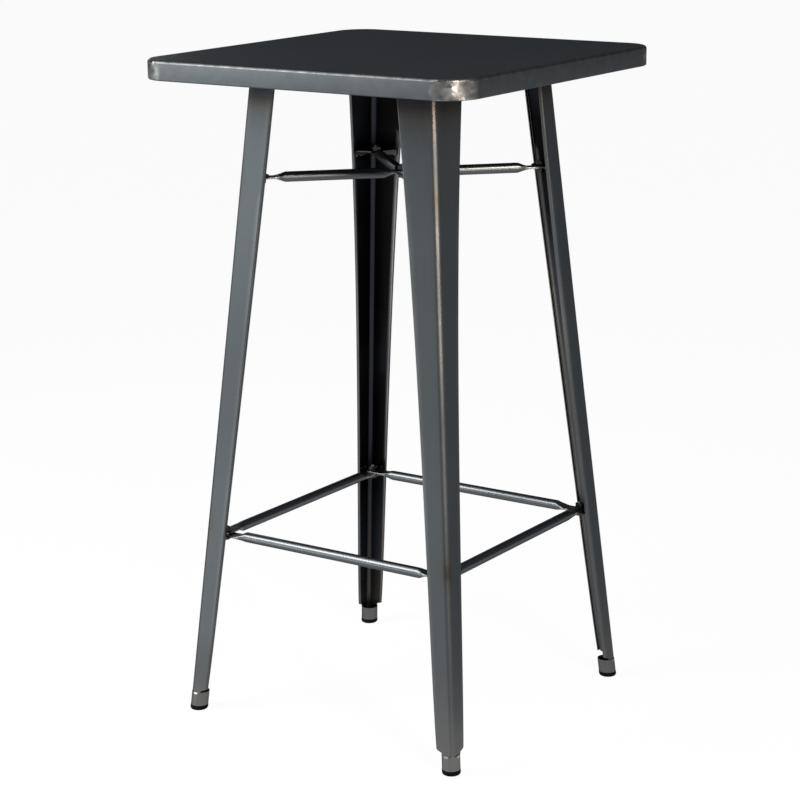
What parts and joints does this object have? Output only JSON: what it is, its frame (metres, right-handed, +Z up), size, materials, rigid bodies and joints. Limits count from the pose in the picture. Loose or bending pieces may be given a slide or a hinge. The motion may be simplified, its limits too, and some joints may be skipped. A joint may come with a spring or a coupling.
{
  "type": "pub table",
  "caption": "Tall square pub table in brushed gunmetal steel: tray top on splayed tapered sheet legs, tied by a crossed brace and a square of stretchers, on rubber feet.",
  "frame": {"origin": "on the floor, on the table's upright centre line", "axes": "+Z up; X and Y along the sides of the square top; -Y is the front"},
  "size_m": [0.61, 0.61, 1.1],
  "materials": {
    "gunmetal_steel": "brushed, dark gunmetal under clear lacquer",
    "bracket_steel": "dark lacquered sheet, welded in",
    "fastener_steel": "black zinc plated, satin",
    "foot_rubber": "matt black"
  },
  "bodies": {
    "root": {"table_top": "gunmetal_steel", "leg_rear_right": "gunmetal_steel", "leg_rear_left": "gunmetal_steel", "leg_front_left": "gunmetal_steel", "leg_front_right": "gunmetal_steel", "ferrule_rear_right": "gunmetal_steel", "ferrule_rear_left": "gunmetal_steel", "ferrule_front_left": "gunmetal_steel", "ferrule_front_right": "gunmetal_steel", "stretcher_rear": "gunmetal_steel", "stretcher_left": "gunmetal_steel", "stretcher_front": "gunmetal_steel", "stretcher_right": "gunmetal_steel", "brace_over": "gunmetal_steel", "brace_under": "gunmetal_steel", "top_rail_rear": "bracket_steel", "top_rail_front": "bracket_steel", "leg_plate_rear_right": "bracket_steel", "leg_plate_rear_left": "bracket_steel", "leg_plate_front_left": "bracket_steel", "leg_plate_front_right": "bracket_steel", "brace_bracket_rear_right": "bracket_steel", "brace_bracket_rear_left": "bracket_steel", "brace_bracket_front_left": "bracket_steel", "brace_bracket_front_right": "bracket_steel", "stretcher_bracket_rear_right": "bracket_steel", "stretcher_bracket_rear_left": "bracket_steel", "stretcher_bracket_front_left": "bracket_steel", "stretcher_bracket_front_right": "bracket_steel", "rubber_foot_rear_right": "foot_rubber", "rubber_foot_rear_left": "foot_rubber", "rubber_foot_front_left": "foot_rubber", "rubber_foot_front_right": "foot_rubber", "brace_end_bolts": "fastener_steel", "brace_end_washers": "fastener_steel", "brace_end_nuts": "fastener_steel", "stretcher_bolts": "fastener_steel", "stretcher_washers": "fastener_steel", "stretcher_nuts": "fastener_steel", "top_rail_bolts": "fastener_steel", "top_rail_washers": "fastener_steel", "top_rail_nuts": "fastener_steel", "brace_middle_bolt": "fastener_steel", "brace_middle_washer": "fastener_steel", "brace_middle_nut": "fastener_steel"}
  },
  "joints": []
}
